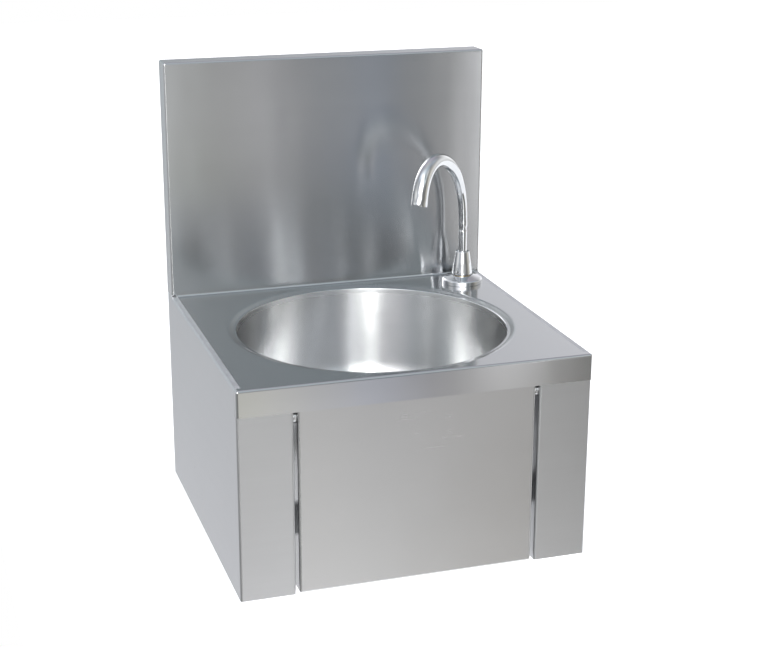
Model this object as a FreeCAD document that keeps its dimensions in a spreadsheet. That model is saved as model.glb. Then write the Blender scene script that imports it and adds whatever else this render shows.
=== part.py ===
import FreeCAD, Part
import math
import os
import Sketcher
from FreeCAD import Vector, Rotation, Placement

# Wall-hung knee-operated hand wash sink in folded stainless sheet.
# Frame, in millimetres: X to the right, Y towards the wall, Z up.  The wall is the plane
# y = 0 and the origin is the centre of the four wall fixing holes.

os.makedirs("parts", exist_ok=True)
doc = FreeCAD.newDocument("hand_wash_sink")

# ---------------------------------------------------------------- driving dimensions
sheet = doc.addObject("Spreadsheet::Sheet", "Sizes")
_row = [0]


class Q:
    """A number together with the cell expression that it comes from."""

    def __init__(self, v, e):
        self.v = float(v)
        self.e = e

    def __add__(self, o):
        o = q(o)
        return Q(self.v + o.v, "(%s + %s)" % (self.e, o.e))

    def __radd__(self, o):
        return q(o) + self

    def __sub__(self, o):
        o = q(o)
        return Q(self.v - o.v, "(%s - %s)" % (self.e, o.e))

    def __rsub__(self, o):
        return q(o) - self

    def __mul__(self, o):
        o = q(o)
        return Q(self.v * o.v, "(%s * %s)" % (self.e, o.e))

    def __rmul__(self, o):
        return q(o) * self

    def __truediv__(self, o):
        o = q(o)
        return Q(self.v / o.v, "(%s / %s)" % (self.e, o.e))

    def __neg__(self):
        return Q(-self.v, "(0 - %s)" % self.e)


def q(x):
    return x if isinstance(x, Q) else Q(x, "(%.9f)" % float(x))


def size(alias, value, note=""):
    _row[0] += 1
    n = _row[0]
    sheet.set("A%d" % n, alias)
    sheet.set("B%d" % n, repr(float(value)))
    sheet.set("C%d" % n, note)
    sheet.setAlias("B%d" % n, alias)
    return Q(value, "Sizes.%s" % alias)


W = size("half_width", 200.0, "half the overall width")
ZT = size("deck_top", 125.0, "height of the deck's top face")
ZB = size("bottom_edge", -115.0, "height of the bottom edge")
HS = size("splash_height", 285.0, "splashback above the deck")
SD = size("splash_thick", 28.0, "depth of the splashback pan")
DD = size("deck_reach", 347.0, "deck, splash face to apron face")
AP = size("apron_drop", 30.0, "depth of the apron")
T = size("sheet_thick", 1.2, "gauge of all folded sheet")
RB = size("bend_out", 2.5, "outside radius of the folds")
LIP = size("lip_reach", 7.0, "side panel's top lip")
WRAP = size("apron_wrap", 8.4, "apron's return round each corner")
UP = size("upturn", 6.5, "deck's upturn at the splashback")
INS = size("front_inset", 1.6, "front strips behind the apron face")
STRIP = size("strip_edge", 138.5, "half opening between the front strips")
RET = size("strip_return", 18.0, "return flange of a front strip")
RF = size("rear_flange", 30.0, "side panel's flange on the wall")
FX = size("fix_half_x", 184.0, "wall fixing holes, half spacing across")
FZ = size("fix_half_z", 65.0, "wall fixing holes, half spacing up")
FR = size("fix_radius", 4.5, "wall fixing hole radius")
RIM = size("rim_radius", 156.0, "bowl mouth radius")
DISH = size("dish_width", 12.0, "dished ring round the mouth")
DROP = size("dish_drop", 2.3, "how far the mouth is set down")
COL = size("collar_depth", 8.0, "drawn collar under the mouth")
BR = size("bowl_bottom_r", 150.5, "bowl wall radius low down")
BF = size("bowl_corner_r", 38.0, "bowl corner radius")
BZ = size("bowl_floor_z", -3.0, "bowl floor where it meets the wall")
WZ = size("waste_floor_z", -15.8, "recess floor round the waste hole")
CYc = size("bowl_centre_y", -203.7, "bowl centre, from the wall")
PH = size("panel_half", 134.4, "knee panel half width")
PF = size("panel_face", -372.9, "knee panel front face")
PB = size("panel_back", -351.1, "knee panel flange edge")
PT = size("panel_top", 97.5, "knee panel top edge")
PVY = size("pivot_y", -363.4, "pivot axis")
PVZ = size("pivot_z", 86.5, "pivot axis")
PVR = size("pivot_radius", 4.0, "pivot bolt shank")
RUN = size("run_gap", 0.05, "radial running clearance")
VZ = size("valve_z", -45.0, "knee valve axis height")
VY = size("rail_y", -338.0, "front face of the valve rail")
TR = size("plunger_travel", 9.22, "knee valve stroke")
TXx = size("tap_x", 162.0, "tap centre")
TYy = size("tap_y", -67.5, "tap centre")
TH = size("thread_half", 10.48, "half inch pipe thread, outside radius")
WT = size("waste_thread", 20.95, "one and a quarter inch pipe thread, outside radius")
LEG = size("spout_leg_r", 5.4, "spout tube radius at the collar")
MOUTH = size("spout_mouth_r", 9.9, "spout tube radius at the outlet")
WALL = size("spout_wall", 1.0, "spout tube wall")
HR = size("hose_radius", 6.0, "flexible hose radius")
HB = size("hose_bend", 50.0, "hose bend radius, outlet side")
HB2 = size("hose_bend_in", 45.0, "hose bend radius, inlet side")
MX = size("mixer_x", -105.0, "mixing valve centre")
MY = size("mixer_y", -135.0, "mixing valve centre")
MI = size("mixer_pitch", 36.0, "mixing valve, half pitch of the inlets")
doc.recompute()

YF = -(DD + SD)          # apron face
YS = -SD                 # splash face


# ---------------------------------------------------------------- sketch helpers
def role(body, name):
    for o in body.Origin.OriginFeatures:
        if o.Role == name:
            return o
    raise RuntimeError(name)


def new_body(label):
    b = doc.addObject("PartDesign::Body", label)
    b.Label = label
    return b


def new_sketch(body, plane, off=None):
    sk = body.newObject("Sketcher::SketchObject", body.Name + "_sketch")
    sk.AttachmentSupport = [(role(body, plane), "")]
    sk.MapMode = "FlatFace"
    if off is not None:
        off = q(off)
        sk.AttachmentOffset = Placement(Vector(0, 0, off.v), Rotation())
        sk.setExpression("AttachmentOffset.Base.z", off.e)
    return sk


def bind(sk, i, value):
    """Ties constraint i to a cell expression."""
    name = "c%d" % i
    sk.renameConstraint(i, name)
    if "Sizes." in value.e:
        sk.setExpression("Constraints." + name, value.e)


def fix_point(sk, geo, pos, x, y):
    x, y = q(x), q(y)
    bind(sk, sk.addConstraint(Sketcher.Constraint("DistanceX", -1, 1, geo, pos, x.v)), x)
    bind(sk, sk.addConstraint(Sketcher.Constraint("DistanceY", -1, 1, geo, pos, y.v)), y)


def loop(sk, pts):
    """Closed outline.  Each corner is (x, y) or (x, y, r), r being a tangent corner radius."""
    n = len(pts)
    P = [(q(p[0]), q(p[1]), (q(p[2]) if len(p) > 2 else None)) for p in pts]
    V = []
    for i in range(n):
        x, y, r = P[i]
        if r is None:
            V.append(("p", x, y))
            continue
        xa, ya, _ = P[i - 1]
        xb, yb, _ = P[(i + 1) % n]
        ax, ay = xa.v - x.v, ya.v - y.v
        bx, by = xb.v - x.v, yb.v - y.v
        la, lb = math.hypot(ax, ay), math.hypot(bx, by)
        ax, ay, bx, by = ax / la, ay / la, bx / lb, by / lb
        dot = max(-1.0, min(1.0, ax * bx + ay * by))
        k = math.tan((math.pi - math.acos(dot)) / 2)      # tangent length per radius
        V.append(("a", x + r * (k * ax), y + r * (k * ay), x + r * (k * bx), y + r * (k * by), r, (ax, ay, bx, by)))
    # edges
    geos = []
    starts = []
    for i in range(n):
        cur, nxt = V[i], V[(i + 1) % n]
        if cur[0] == "a":
            _, sx, sy, ex, ey, r, (ax, ay, bx, by) = cur
            hx, hy = ax + bx, ay + by
            hl = math.hypot(hx, hy)
            sin_half = math.sqrt(max(0.0, (1 - (ax * bx + ay * by)) / 2))
            d = r.v / sin_half
            cx = P[i][0].v + hx / hl * d
            cy = P[i][1].v + hy / hl * d
            a1 = math.atan2(sy.v - cy, sx.v - cx)
            a2 = math.atan2(ey.v - cy, ex.v - cx)
            left_turn = (-ax) * by - (-ay) * bx > 0
            if not left_turn:
                a1, a2 = a2, a1
            while a2 < a1:
                a2 += 2 * math.pi
            g = sk.addGeometry(Part.ArcOfCircle(Part.Circle(Vector(cx, cy, 0), Vector(0, 0, 1), r.v), a1, a2))
            geos.append((g, 1, 2) if left_turn else (g, 2, 1))
            starts.append((sx, sy))
            bind(sk, sk.addConstraint(Sketcher.Constraint("Radius", g, r.v)), r)
            px, py = ex, ey
        else:
            px, py = cur[1], cur[2]
        tx, ty = nxt[1], nxt[2]
        if math.hypot(tx.v - px.v, ty.v - py.v) < 1e-6:
            continue
        g = sk.addGeometry(Part.LineSegment(Vector(px.v, py.v, 0), Vector(tx.v, ty.v, 0)))
        geos.append((g, 1, 2))
        starts.append((px, py))
    m = len(geos)
    for i in range(m):
        g, s, e = geos[i]
        g2, s2, e2 = geos[(i + 1) % m]
        sk.addConstraint(Sketcher.Constraint("Coincident", g, e, g2, s2))
        fix_point(sk, g, s, starts[i][0], starts[i][1])


def rect(sk, x0, y0, x1, y1):
    loop(sk, [(x0, y0), (x1, y0), (x1, y1), (x0, y1)])


def ring(sk, x, y, r):
    x, y, r = q(x), q(y), q(r)
    g = sk.addGeometry(Part.Circle(Vector(x.v, y.v, 0), Vector(0, 0, 1), r.v))
    fix_point(sk, g, 3, x, y)
    bind(sk, sk.addConstraint(Sketcher.Constraint("Radius", g, r.v)), r)


def hexagon(sk, x, y, af, turn=0.0):
    """Regular hexagon by its width across flats."""
    af = q(af)
    k = 0.5 / math.cos(math.radians(30))
    pts = []
    for i in range(6):
        a = math.radians(60 * i + 30 + turn)
        pts.append((q(x) + af * (k * math.cos(a)), q(y) + af * (k * math.sin(a))))
    loop(sk, pts)


def _len(f, value):
    value = q(value)
    f.Length = value.v
    if "Sizes." in value.e:
        f.setExpression("Length", value.e)


def volume(body):
    return body.Shape.Volume if body.Shape and not body.Shape.isNull() else 0.0


def pad(body, sk, length, rev=False):
    f = body.newObject("PartDesign::Pad", body.Name + "_pad")
    f.Profile = sk
    f.Reversed = rev
    _len(f, length)
    sk.Visibility = False
    doc.recompute()
    return f


def pocket(body, sk, length, rev=False):
    before = volume(body)
    f = body.newObject("PartDesign::Pocket", body.Name + "_pocket")
    f.Profile = sk
    f.Reversed = rev
    _len(f, length)
    doc.recompute()
    if not volume(body) < before - 1e-6:
        raise RuntimeError("a cut in %s removes nothing" % body.Label)
    return f


def spin(body, sk, cut=False):
    """Full turn about the sketch's own vertical axis."""
    before = volume(body)
    kind = "PartDesign::Groove" if cut else "PartDesign::Revolution"
    f = body.newObject(kind, body.Name + ("_groove" if cut else "_turn"))
    f.Profile = sk
    f.ReferenceAxis = (sk, ["V_Axis"])
    f.Angle = 360
    doc.recompute()
    if cut and not volume(body) < before - 1e-6:
        raise RuntimeError("a groove in %s removes nothing" % body.Label)
    return f


def turned(body, pts, cut=False):
    sk = new_sketch(body, "XZ_Plane")
    loop(sk, pts)
    return spin(body, sk, cut)


def box_pad(body, x0, x1, y0, y1, z0, z1):
    sk = new_sketch(body, "XY_Plane", z0)
    rect(sk, x0, y0, x1, y1)
    return pad(body, sk, q(z1) - q(z0))


def box_cut(body, x0, x1, y0, y1, z0, z1):
    sk = new_sketch(body, "XY_Plane", z1)
    rect(sk, x0, y0, x1, y1)
    return pocket(body, sk, q(z1) - q(z0))


def hole_z(body, x, y, r, z0, z1):
    sk = new_sketch(body, "XY_Plane", z1)
    ring(sk, x, y, r)
    return pocket(body, sk, q(z1) - q(z0))


def hole_y(body, x, z, r, y0, y1):
    """Round hole along Y from y0 to y1, y0 being the smaller."""
    sk = new_sketch(body, "XZ_Plane", -q(y0))
    ring(sk, x, z, r)
    return pocket(body, sk, q(y1) - q(y0))


def hole_x(body, y, z, r, x0, x1):
    sk = new_sketch(body, "YZ_Plane", x1)
    ring(sk, y, z, r)
    return pocket(body, sk, q(x1) - q(x0))


def round_edges(body, feature, pick, radius, chamfer=False):
    radius = q(radius)
    names = []
    for i, e in enumerate(feature.Shape.Edges):
        b = e.BoundBox
        if pick(b, e):
            names.append("Edge%d" % (i + 1))
    if not names:
        raise RuntimeError("no edge picked in %s" % body.Label)
    f = body.newObject("PartDesign::Chamfer" if chamfer else "PartDesign::Fillet", body.Name + "_edge")
    f.Base = (feature, names)
    if chamfer:
        f.Size = radius.v
        if "Sizes." in radius.e:
            f.setExpression("Size", radius.e)
    else:
        f.Radius = radius.v
        if "Sizes." in radius.e:
            f.setExpression("Radius", radius.e)
    doc.recompute()
    return f


def place(obj, x, y, z, rot=None):
    x, y, z = q(x), q(y), q(z)
    obj.Placement = Placement(Vector(x.v, y.v, z.v), rot or Rotation())
    for k, c in (("x", x), ("y", y), ("z", z)):
        if "Sizes." in c.e:
            obj.setExpression("Placement.Base.%s" % k, c.e)


TO_Y = Rotation(Vector(1, 0, 0), -90)      # own Z axis laid along +Y
TO_FRONT = Rotation(Vector(1, 0, 0), 90)   # own Z axis laid along -Y
TO_X = Rotation(Vector(0, 1, 0), 90)       # own Z axis laid along +X
TO_LEFT = Rotation(Vector(0, 1, 0), -90)   # own Z axis laid along -X
DOWN = Rotation(Vector(1, 0, 0), 180)

nodes = []


def keep(obj, label=None):
    if label:
        obj.Label = label
    nodes.append(obj)
    return obj


def mirrored(src, label):
    m = doc.addObject("Part::Mirroring", label)
    m.Source = src
    m.Normal = (1, 0, 0)
    m.Base = (0, 0, 0)
    m.Label = label
    doc.recompute()
    return m


def group(label, *objs):
    c = doc.addObject("Part::Compound", label)
    c.Links = list(objs)
    c.Label = label
    doc.recompute()
    return keep(c)


def pair(label, src):
    """The same piece on both sides of the sink, as one node of two solids."""
    return group(label, src, mirrored(src, label + "_other"))


near = lambda a, b, tol=0.02: abs(a - b) < tol

# ---------------------------------------------------------------- deck with its apron
b = new_body("deck")
sk = new_sketch(b, "XY_Plane", ZT - AP)
loop(sk, [(-W, YF + WRAP), (-W, YF, RB), (W, YF, RB), (W, YF + WRAP)])
f = pad(b, sk, AP)
f = round_edges(b, f, lambda bb, e: near(bb.ZMin, ZT.v) and near(bb.ZMax, ZT.v) and not (near(bb.YMin, (YF + WRAP).v) and near(bb.YMax, (YF + WRAP).v)), RB)
sk = new_sketch(b, "XY_Plane", ZT - T)
loop(sk, [(-W + T, YF + WRAP + 1), (-W + T, YF + T, RB - T), (W - T, YF + T, RB - T), (W - T, YF + WRAP + 1)])
pocket(b, sk, AP)
# the plate behind the front fold, with its upturn at the splashback
sk = new_sketch(b, "YZ_Plane", -(W - LIP))
loop(sk, [(YF + WRAP, ZT), (YS, ZT, RB), (YS, ZT + UP), (YS + T, ZT + UP), (YS + T, ZT - T, RB + T), (YF + WRAP, ZT - T)])
pad(b, sk, (W - LIP) * 2)
# bowl mouth: dished ring and drawn collar
hole_z(b, 0, CYc, RIM + DISH, ZT - 5, ZT + 1)
ringb = new_body("mouth_ring")
turned(ringb, [(RIM + DISH, ZT), (RIM + DISH - 3, ZT, 9), (RIM + 3.2, ZT - DROP + 0.25, 6), (RIM, ZT - DROP, 1.0),
               (RIM, ZT - COL), (RIM + T, ZT - COL), (RIM + T, ZT - DROP - 1.1, 0.3), (RIM + 3.4, ZT - DROP - 0.95, 6),
               (RIM + DISH - 3, ZT - T, 9), (RIM + DISH, ZT - T)])
place(ringb, 0, CYc, 0)
# tap hole
hole_z(b, TXx, TYy, 11.2, ZT - 5, ZT + 1)
deck = doc.addObject("Part::Fuse", "deck_sheet")
deck.Base = b
deck.Tool = ringb
b.Label = "deck_plate"
doc.recompute()
keep(deck, "deck")

# ---------------------------------------------------------------- splashback pan
b = new_body("splashback")
sk = new_sketch(b, "XY_Plane", ZT)
loop(sk, [(-W, 0), (-W, YS, RB), (W, YS, RB), (W, 0)])
f = pad(b, sk, HS)
top = (ZT + HS).v
f = round_edges(b, f, lambda bb, e: near(bb.ZMin, top) and near(bb.ZMax, top) and not (near(bb.YMin, 0) and near(bb.YMax, 0)), RB)
sk = new_sketch(b, "XY_Plane", ZT + HS - T)
loop(sk, [(-W + T, 1), (-W + T, YS + T, RB - T), (W - T, YS + T, RB - T), (W - T, 1)])
pocket(b, sk, HS)
box_cut(b, -(W - LIP), W - LIP, YS - 1, YS + T + 0.5, ZT - 1, ZT + UP)
for sgn in (-1, 1):
    box_cut(b, W * sgn - 4.6, W * sgn + 4.6, YS - 1, YS + 2.6, ZT - 1, ZT + 2.6)
keep(b)

# ---------------------------------------------------------------- side panels
SF = YF + INS      # front face of the strips
b = new_body("left_side_panel")
sk = new_sketch(b, "XY_Plane", ZB)
loop(sk, [(-W + RF, 0), (-W, 0, RB), (-W, SF, RB), (-STRIP, SF, RB), (-STRIP, SF + RET), (-STRIP - T, SF + RET),
          (-STRIP - T, SF + T, RB - T), (-W + T, SF + T, RB - T), (-W + T, -T, RB - T), (-W + RF, -T)])
pad(b, sk, ZT - ZB)
box_cut(b, -W - 1, -W + 1.6, YF - 1, YF + WRAP + 0.3, ZT - AP - 0.3, ZT + 1)
box_cut(b, -W + 1.0, -STRIP + 1, YF - 1, SF + RET + 1, ZT - AP + 8, ZT + 1)
box_cut(b, -W - 1, -W + T + 0.2, YF - 1, YS, ZT - RB, ZT + 1)
sk = new_sketch(b, "XZ_Plane", -YS)
loop(sk, [(-W, ZT - RB), (-W, ZT, RB), (-W + LIP, ZT), (-W + LIP, ZT - T), (-W + T, ZT - T, RB - T), (-W + T, ZT - RB)])
pad(b, sk, DD - WRAP)
for s in (-1, 1):
    hole_y(b, -FX, FZ * s, FR, -3, 1)
hole_x(b, PVY, PVZ, PVR + 0.1, -STRIP - 3, -STRIP + 1)
keep(b)
left = b
keep(mirrored(b, "right_side_panel"))

# ---------------------------------------------------------------- bowl
b = new_body("bowl")
turned(b, [(RIM, ZT - COL), (BR, BZ, BF), (36, -13, 3), (34.5, WZ, 1.5), (22, WZ), (22, WZ - T),
           (34.5 + 0.9, WZ - T, 2.7), (36.8, -13 - T, 1.8), (BR + T, BZ - T, BF + T), (RIM + T, ZT - COL)])
place(b, 0, CYc, 0)
keep(b)

# ---------------------------------------------------------------- rails across the inside
b = new_body("rear_rail")
sk = new_sketch(b, "YZ_Plane", -(W - T - 2))
loop(sk, [(-T, -100), (-T, -70), (-T - 12, -70), (-T - 12, -70 - T), (-T - T, -70 - T), (-T - T, -100 + T), (-T - 12, -100 + T), (-T - 12, -100)])
pad(b, sk, (W - T - 2) * 2)
keep(b)

b = new_body("valve_rail")
sk = new_sketch(b, "YZ_Plane", -W + T)
loop(sk, [(VY, VZ - 17, 2), (VY, VZ + 17, 2), (VY + 12, VZ + 17), (VY + 12, VZ + 17 - T), (VY + T, VZ + 17 - T, 0.8),
          (VY + T, VZ - 17 + T, 0.8), (VY + 12, VZ - 17 + T), (VY + 12, VZ - 17)])
pad(b, sk, (W - T) * 2)
hole_y(b, 0, VZ, 12.5, VY - 1, VY + T + 1)
keep(b)

# ---------------------------------------------------------------- knee panel and its pivots
b = new_body("knee_panel")
sk = new_sketch(b, "XY_Plane", ZB)
loop(sk, [(-PH, PB), (-PH, PF, RB), (PH, PF, RB), (PH, PB)])
f = pad(b, sk, PT - ZB)
f = round_edges(b, f, lambda bb, e: near(bb.ZMin, bb.ZMax) and (near(bb.ZMin, ZB.v) or near(bb.ZMin, PT.v)) and not (near(bb.YMin, PB.v) and near(bb.YMax, PB.v)), RB)
sk = new_sketch(b, "XY_Plane", PT - T)
loop(sk, [(-PH + T, PB + 1), (-PH + T, PF + T, RB - T), (PH - T, PF + T, RB - T), (PH - T, PB + 1)])
pocket(b, sk, PT - ZB - T * 2)
for s in (-1, 1):
    x0, x1 = (-PH + T, -PH + 10) if s < 0 else (PH - 10, PH - T)
    box_pad(b, x0, x1, PB - T, PB, ZB + T, PT - T)
hole_x(b, PVY, PVZ, 5.0, -PH - 1, PH + 1)
# the top flange is narrowed in the middle, where the bowl comes near
box_cut(b, -80, 80, PF + 6.9, PB + 1, PT - T - 0.3, PT + 1)
keep(b)

b = new_body("knee_push_pad")
turned(b, [(0, 0), (13, 0), (13, 5, 1.5), (0, 5)])
place(b, 0, PF + T, VZ, TO_Y)
keep(b)

b = new_body("pivot_bolt_right")
turned(b, [(0, 0), (6.5, 0), (6.5, 4.2), (PVR, 4.2), (PVR, 19.4, 0.6), (0, 19.4)])
f = b.Tip
f = round_edges(b, f, lambda bb, e: near(bb.ZMax, 0) and near(bb.XMax, 6.5), 0.8)
sk = new_sketch(b, "XY_Plane", 2.2)
hexagon(sk, 0, 0, 5)
pocket(b, sk, 3.0)
place(b, PH - T - 1.3 - 4.2, PVY, PVZ, TO_X)
pair("pivot_bolts", b)

b = new_body("pivot_bush_right")
turned(b, [(PVR + RUN, -1), (6.5, -1), (6.5, 0), (5, 0), (5, T), (PVR + RUN, T)])
place(b, PH - T, PVY, PVZ, TO_X)
pair("pivot_bushes", b)

b = new_body("pivot_spacer_right")
turned(b, [(PVR + 0.02, 0), (7, 0, 0.5), (7, STRIP - PH - 0.3, 0.5), (PVR + 0.02, STRIP - PH - 0.3)])
place(b, PH + 0.3, PVY, PVZ, TO_X)
pair("pivot_spacers", b)

b = new_body("pivot_nut_right")
sk = new_sketch(b, "XY_Plane")
hexagon(sk, 0, 0, 13)
ring(sk, 0, 0, PVR)
pad(b, sk, 5.0)
place(b, STRIP + T, PVY, PVZ, TO_X)
pair("pivot_nuts", b)

# ---------------------------------------------------------------- rest stops and travel stops
b = new_body("rest_hook_right")
# arm from the rail, then a hook turned outwards in front of the panel's lip
sk = new_sketch(b, "XY_Plane", VZ - 9)
loop(sk, [(112, VY), (112, VY - 19), (131, VY - 19), (131, VY - 17.5), (113.5, VY - 17.5), (113.5, VY - 1.5), (124, VY - 1.5), (124, VY)])
pad(b, sk, 18)
pair("rest_stop_hooks", b)

b = new_body("rest_pad_right")
turned(b, [(0, 0), (5, 0), (5, 2.9, 0.6), (0, 2.9)])
place(b, 127.0, VY - 17.5, VZ, TO_Y)
pair("rest_stop_pads", b)

b = new_body("travel_pad_right")
turned(b, [(0, 0), (5, 0), (4.4, 3.0, 0.6), (0, 3.0)])
place(b, 130.2, VY, VZ, TO_FRONT)
pair("travel_stop_pads", b)

# ---------------------------------------------------------------- knee valve, axis along Y
b = new_body("valve_body")
turned(b, [(6 + RUN, -7.5), (12.5, -7.5, 0.8), (12.5, T), (15, T), (15, 50, 2), (0, 50), (0, 34), (6 + RUN, 34)])
sk = new_sketch(b, "YZ_Plane", -28)
ring(sk, 0, 30, TH)
f = pad(b, sk, 56)
hole_x(b, 0, 30, 5.0, -29, -5)
hole_x(b, 0, 30, 5.0, 5, 29)
sk = new_sketch(b, "XY_Plane", 8)
ring(sk, 0, 0, 6 + RUN)
pocket(b, sk, 26, True)
place(b, 0, VY, VZ, TO_Y)
keep(b)

b = new_body("valve_lock_nut")
sk = new_sketch(b, "XY_Plane")
hexagon(sk, 0, 0, 32)
ring(sk, 0, 0, 12.5)
pad(b, sk, 5)
f = b.Tip
place(b, 0, VY - 5, VZ, TO_Y)
keep(b)

b = new_body("valve_plunger")
# stem in the bore, domed button in front
turned(b, [(0, 0), (7, 0.9, 4), (11, 3.2, 1.2), (11, 5.6, 0.6), (6, 5.6), (6, 38.0), (4.2, 38.0), (4.2, 40.2), (6, 40.2), (6, 46, 0.8), (0, 46)])
place(b, 0, PF + T + 5 + 0.3, VZ, TO_Y)
keep(b)

b = new_body("valve_plunger_ring")
turned(b, [(4.2, -0.9), (5.98, -0.9, 0.7), (5.98, 0.9, 0.7), (4.2, 0.9)])
place(b, 0, PF + T + 5 + 0.3 + 39.1, VZ, TO_Y)
keep(b)

# the wire's section is an octagon, which keeps every face of the coil simple
hx = doc.addObject("Part::Helix", "spring_path")
hx.Radius = 8.2
hx.Pitch = 3.7
hx.Height = 14.4
wire = doc.addObject("Part::RegularPolygon", "spring_wire")
wire.Polygon = 8
wire.Circumradius = 0.55
wire.Placement = Placement(Vector(8.2, 0, 0), Rotation(Vector(1, 0, 0), 90))
sp = doc.addObject("Part::Sweep", "valve_spring")
sp.Sections = [wire]
sp.Spine = (hx, [])
sp.Solid = True
sp.Frenet = True
doc.recompute()
place(sp, 0, PF + T + 5 + 0.3 + 5.6 + 0.6, VZ, TO_Y)
keep(sp)

# ---------------------------------------------------------------- hoses


def hose(label, pts, radii):
    """Straight runs joined by tangent arcs, swept with a round section and bored."""
    edges = []
    cur = Vector(*pts[0])
    length = 0.0
    for i in range(1, len(pts) - 1):
        p = Vector(*pts[i])
        a = (Vector(*pts[i - 1]) - p).normalize()
        c = (Vector(*pts[i + 1]) - p).normalize()
        half = a.getAngle(c) / 2
        tl = radii[i - 1] / math.tan(half)
        s, e = p + a * tl, p + c * tl
        bis = (a + c).normalize()
        m = p + bis * (radii[i - 1] / math.sin(half) - radii[i - 1])
        edges.append(Part.LineSegment(cur, s).toShape())
        edges.append(Part.Arc(s, m, e).toShape())
        length += (s - cur).Length + radii[i - 1] * (math.pi - 2 * half)
        cur = e
    end = Vector(*pts[-1])
    edges.append(Part.LineSegment(cur, end).toShape())
    length += (end - cur).Length
    path = Part.Wire(edges)
    d = (Vector(*pts[1]) - Vector(*pts[0])).normalize()
    shapes = []
    for r in (HR.v, HR.v - 1.8):
        prof = Part.Wire([Part.Circle(Vector(*pts[0]), d, r).toShape()])
        shapes.append(path.makePipeShell([prof], True, False))
    solid = shapes[0].cut(shapes[1])
    want = math.pi * (HR.v ** 2 - (HR.v - 1.8) ** 2) * length
    print(label, "length %.1f mm, radii %s, volume ratio %.4f" % (length, radii, solid.Volume / want))
    o = doc.addObject("Part::Feature", label)
    o.Shape = solid
    o.Placement = Placement()
    o.Label = label
    return keep(o)


HY = (VY + 30).v          # hoses' plane behind the rail
hose("outlet_hose", [(31, HY, VZ.v), (TXx.v, HY, VZ.v), (TXx.v, TYy.v, VZ.v), (TXx.v, TYy.v, 70.0)], [HB.v, HB.v])
hose("inlet_hose", [(-31, HY, VZ.v), (MX.v, HY, VZ.v), (MX.v, MY.v - 31, VZ.v)], [HB2.v])


def union_nut(label, x, y, z, rot):
    """Hexagon nut on a half inch thread with a shouldered hose end."""
    n = new_body(label + "_nut")
    sk = new_sketch(n, "XY_Plane")
    hexagon(sk, 0, 0, 25)
    pad(n, sk, 15)
    sk = new_sketch(n, "XY_Plane", 12)
    ring(sk, 0, 0, TH)
    pocket(n, sk, 12)
    sk = new_sketch(n, "XY_Plane", 15)
    ring(sk, 0, 0, HR)
    pocket(n, sk, 4)
    place(n, x, y, z, rot)
    c = new_body(label + "_ferrule")
    turned(c, [(HR, 0), (8, 0), (8, 20, 0.8), (HR, 20)])
    off = rot.multVec(Vector(0, 0, 15))
    place(c, q(x) + off.x, q(y) + off.y, q(z) + off.z, rot)
    return n, c


ends = [
    union_nut("valve_outlet", 18, VY + 30, VZ, TO_X),
    union_nut("tap_tail", TXx, TYy, 86, DOWN),
    union_nut("valve_inlet", -18, VY + 30, VZ, TO_LEFT),
    union_nut("mixer_outlet", MX, MY - 18, VZ, TO_FRONT),
]
group("hose_nuts", *[e[0] for e in ends])
group("hose_ferrules", *[e[1] for e in ends])

# ---------------------------------------------------------------- mixing valve
b = new_body("mixer_body")
sk = new_sketch(b, "YZ_Plane", -(MI + 16))
ring(sk, 0, 0, 15)
pad(b, sk, (MI + 16) * 2)
sk = new_sketch(b, "YZ_Plane", -(MI + 30))
ring(sk, 0, 0, 9)
pad(b, sk, 14)
sk = new_sketch(b, "XZ_Plane", 10)
ring(sk, 0, 0, TH)
pad(b, sk, 20)
for s in (-1, 1):
    sk = new_sketch(b, "XY_Plane", -53)
    ring(sk, MI * s, 0, TH)
    pad(b, sk, 50)
    sk = new_sketch(b, "XY_Plane", -33)
    hexagon(sk, MI * s, 0, 25)
    pad(b, sk, 30)
sk = new_sketch(b, "XY_Plane", -22)
ring(sk, 0, 0, 8)
pad(b, sk, 14)
hole_x(b, 0, 0, 9, -(MI + 8), MI + 8)
for s in (-1, 1):
    hole_z(b, MI * s, 0, 8.5, -54, -24)
    hole_z(b, MI * s, 0, 5, -25, 0)
sk = new_sketch(b, "XZ_Plane", 31)
ring(sk, 0, 0, 5)
pocket(b, sk, 27)
hole_z(b, 0, 0, 4 + RUN, -23, -5)
place(b, MX, MY, VZ)
keep(b)

b = new_body("mixer_spindle")
turned(b, [(0, -36), (2.9, -36), (2.9, -22.4), (4, -22.4), (4, -8, 0.5), (0, -8)])
place(b, MX, MY, VZ)
keep(b)

b = new_body("mixer_knob")
turned(b, [(0, -38), (12, -38, 1.5), (14, -24, 1.5), (14, -22.5, 0.6), (2.9, -22.5), (2.9, -36), (0, -36)])
f = b.Tip
for i in range(8):
    a = math.radians(45 * i + 22.5)
    sk = new_sketch(b, "XY_Plane", -24.5)
    ring(sk, 14.6 * math.cos(a), 14.6 * math.sin(a), 2.4)
    pocket(b, sk, 14)
place(b, MX, MY, VZ)
keep(b)

parts = []
for s, nm in ((-1, "hot"), (1, "cold")):
    b = new_body("check_valve_" + nm)
    turned(b, [(2.5, -14), (8.48, -14), (8.48, 0, 0.6), (4.5, 0), (4.5, -9), (2.5, -11)])
    place(b, MX + MI * s, MY, VZ - 36)
    parts.append(b)
group("check_valves", *parts)

b = new_body("mixer_bracket")
BX = (MX - MI - 16).v
sk = new_sketch(b, "XZ_Plane", -(MY.v + 16))
loop(sk, [(-W + T, VZ - 22), (-W + T, VZ + 22, 2.5), (BX, VZ + 22, 2.5), (BX, VZ - 13), (BX - 1.5, VZ - 13), (BX - 1.5, VZ + 20.5, 1),
          (-W + T + 1.5, VZ + 20.5, 1), (-W + T + 1.5, VZ - 22)])
pad(b, sk, 32)
hole_x(b, MY, VZ, 9, BX - 3, BX + 1)
keep(b)

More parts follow.
